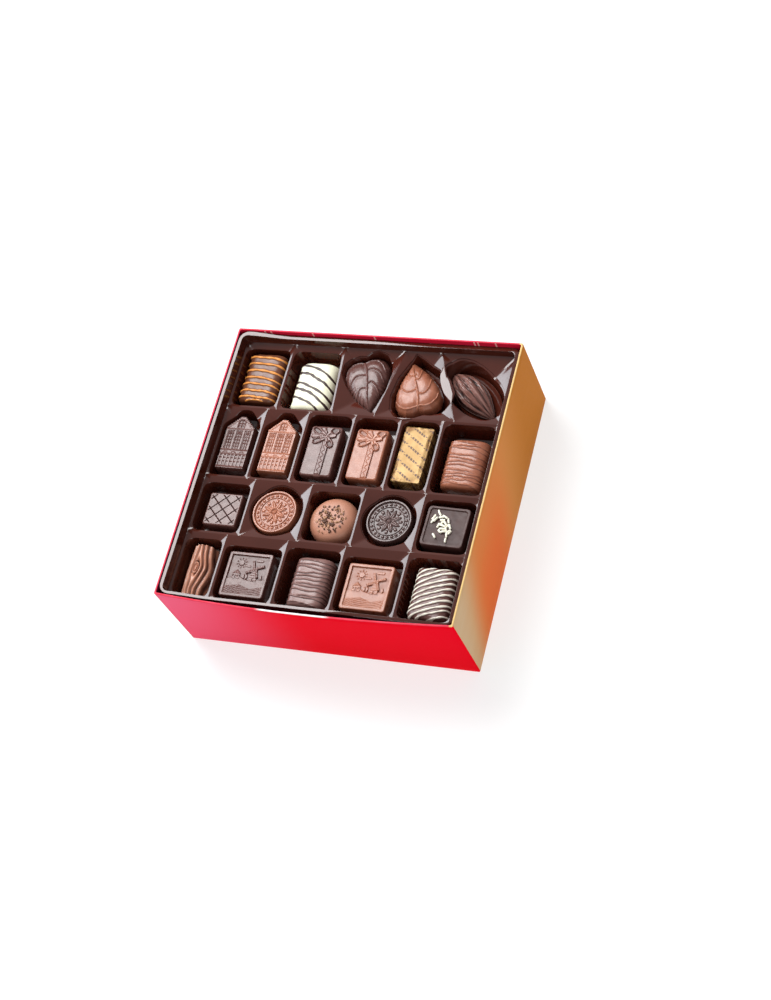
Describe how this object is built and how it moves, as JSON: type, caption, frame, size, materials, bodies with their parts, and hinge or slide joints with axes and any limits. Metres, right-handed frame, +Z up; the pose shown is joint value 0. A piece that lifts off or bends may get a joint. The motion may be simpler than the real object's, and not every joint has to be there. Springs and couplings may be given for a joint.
{
  "type": "box of chocolate pralines",
  "caption": "Open square gift carton holding a formed dark plastic tray, with a differently shaped chocolate praline in each pocket.",
  "frame": {"origin": "middle of the carton's underside, on the surface it stands on", "axes": "+Z up out of the open box, +X to the box's right, +Y to its back"},
  "size_m": [0.2, 0.2025, 0.067],
  "materials": {
    "carton_red": "gloss-laminated printed card, red with a gold right side",
    "tray_plastic": "glossy dark brown formed sheet",
    "dark_chocolate": "satin dark chocolate",
    "milk_chocolate": "satin milk chocolate",
    "white_chocolate": "satin white chocolate",
    "gold_foil": "crinkled gold foil"
  },
  "bodies": {
    "root": {"carton": "carton_red", "tray": "tray_plastic", "orange_striped_log": "dark_chocolate", "white_striped_log": "white_chocolate", "dark_leaf": "dark_chocolate", "milk_leaf": "milk_chocolate", "cocoa_pod": "dark_chocolate", "dark_house": "dark_chocolate", "milk_house": "milk_chocolate", "dark_gift": "dark_chocolate", "milk_gift": "milk_chocolate", "gold_foil_bar": "gold_foil", "milk_ribbed_log": "milk_chocolate", "lattice_square": "dark_chocolate", "milk_medallion": "milk_chocolate", "nib_dome": "milk_chocolate", "dark_medallion": "dark_chocolate", "strand_square": "dark_chocolate", "bark_log": "milk_chocolate", "dark_landscape": "dark_chocolate", "dark_ribbed_log": "dark_chocolate", "milk_landscape": "milk_chocolate", "white_striped_dark_log": "dark_chocolate"}
  },
  "joints": []
}
